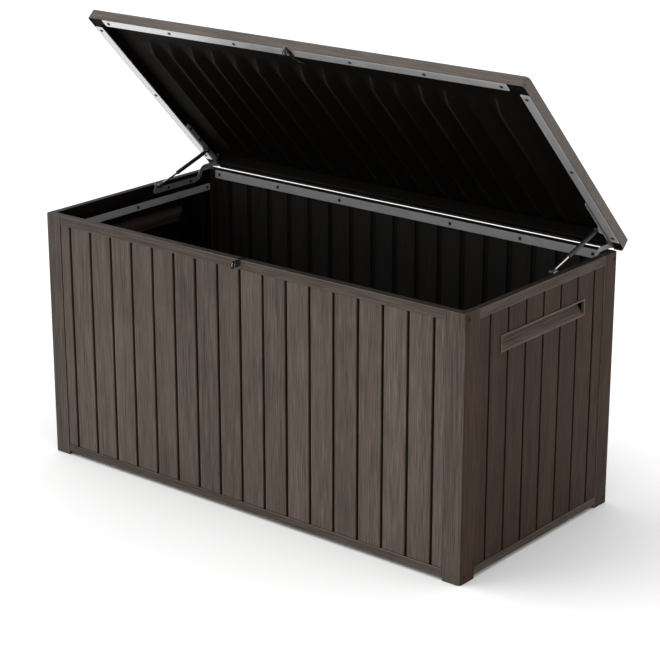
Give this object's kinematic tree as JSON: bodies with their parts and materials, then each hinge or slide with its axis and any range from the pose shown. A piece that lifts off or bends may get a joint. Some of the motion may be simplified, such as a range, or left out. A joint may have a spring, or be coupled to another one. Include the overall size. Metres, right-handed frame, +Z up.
{
  "type": "deck storage box",
  "caption": "Planked resin deck box on corner posts with a back-hinged lid held open by gas struts, steel stiffening bars, end handle recesses and padlock eyes.",
  "frame": {"origin": "middle of the bin's footprint on the ground", "axes": "+Z up, the bin's front faces -Y, +X along its length to the right seen from the front"},
  "size_m": [1.43, 0.7319, 1.2228],
  "materials": {
    "bin_resin": "moulded wood grain, matt brown",
    "lid_resin": "moulded wood grain, matt brown",
    "floor_resin": "smooth matt, dark",
    "steel_bar": "zinc plated, satin",
    "screw": "black",
    "arm_steel": "black, satin",
    "stud_steel": "zinc plated",
    "cylinder_paint": "black, satin",
    "rod_chrome": "polished",
    "eyelet": "bright",
    "lock_paint": "black, satin"
  },
  "bodies": {
    "bin": {"back_bar_screw_1": "screw", "back_bar_screw_2": "screw", "back_bar_screw_3": "screw", "back_bar_screw_4": "screw", "back_bar_screw_5": "screw", "back_bar_screw_6": "screw", "back_frame_bar": "steel_bar", "back_panel": "bin_resin", "bin_arm_left": "arm_steel", "bin_arm_right": "arm_steel", "bin_lock_bracket": "lock_paint", "bin_lock_eyelet": "eyelet", "corner_post_back_left": "bin_resin", "corner_post_back_right": "bin_resin", "corner_post_front_left": "bin_resin", "corner_post_front_right": "bin_resin", "floor_panel": "floor_resin", "front_panel": "bin_resin", "hinge_pin_left": "stud_steel", "hinge_pin_right": "stud_steel", "left_bar_screw_1": "screw", "left_bar_screw_2": "screw", "left_bar_screw_3": "screw", "left_frame_bar": "steel_bar", "left_panel": "bin_resin", "lower_stud_left": "stud_steel", "lower_stud_right": "stud_steel", "right_bar_screw_1": "screw", "right_bar_screw_2": "screw", "right_bar_screw_3": "screw", "right_frame_bar": "steel_bar", "right_panel": "bin_resin"},
    "lid": {"lid_arm_left": "arm_steel", "lid_arm_right": "arm_steel", "lid_front_bar": "steel_bar", "lid_front_screw_1": "screw", "lid_front_screw_2": "screw", "lid_front_screw_3": "screw", "lid_front_screw_4": "screw", "lid_front_screw_5": "screw", "lid_front_screw_6": "screw", "lid_left_bar": "steel_bar", "lid_left_screw_1": "screw", "lid_left_screw_2": "screw", "lid_left_screw_3": "screw", "lid_lock_bracket": "lock_paint", "lid_lock_eyelet": "eyelet", "lid_right_bar": "steel_bar", "lid_right_screw_1": "screw", "lid_right_screw_2": "screw", "lid_right_screw_3": "screw", "lid_shell": "lid_resin", "upper_stud_left": "stud_steel", "upper_stud_right": "stud_steel"},
    "rod_left": {"strut_rod_left": "rod_chrome"},
    "rod_right": {"strut_rod_right": "rod_chrome"},
    "cylinder_left": {"strut_cylinder_left": "cylinder_paint"},
    "cylinder_right": {"strut_cylinder_right": "cylinder_paint"}
  },
  "joints": [
    {"name": "lid_hinge", "type": "hinge", "parent": "bin", "child": "lid", "pos_m": [0, 0.3441, 0.7033], "axis": [1, 0, 0], "range_deg": [0, 46.2], "stiffness_Nm_per_rad": 6, "springref_deg": -143.24},
    {"name": "strut_swing_left", "type": "hinge", "parent": "bin", "child": "rod_left", "pos_m": [-0.6682, 0.079, 0.6925], "axis": [1, 0, 0], "range_deg": [-16.15, 0]},
    {"name": "strut_slide_left", "type": "slide", "parent": "rod_left", "child": "cylinder_left", "axis": [0, 0.9538, 0.3003], "range_m": [-0.03034, 0]},
    {"name": "strut_swing_right", "type": "hinge", "parent": "bin", "child": "rod_right", "pos_m": [0.6682, 0.079, 0.6925], "axis": [1, 0, 0], "range_deg": [-16.15, 0]},
    {"name": "strut_slide_right", "type": "slide", "parent": "rod_right", "child": "cylinder_right", "axis": [0, 0.9538, 0.3003], "range_m": [-0.03034, 0]}
  ],
  "couplings": [
    {"joint": "strut_swing_left", "follows": "lid_hinge", "ratio": -0.34741},
    {"joint": "strut_slide_left", "follows": "lid_hinge", "m_per_rad": -0.037378},
    {"joint": "strut_swing_right", "follows": "lid_hinge", "ratio": -0.34741},
    {"joint": "strut_slide_right", "follows": "lid_hinge", "m_per_rad": -0.037378}
  ]
}
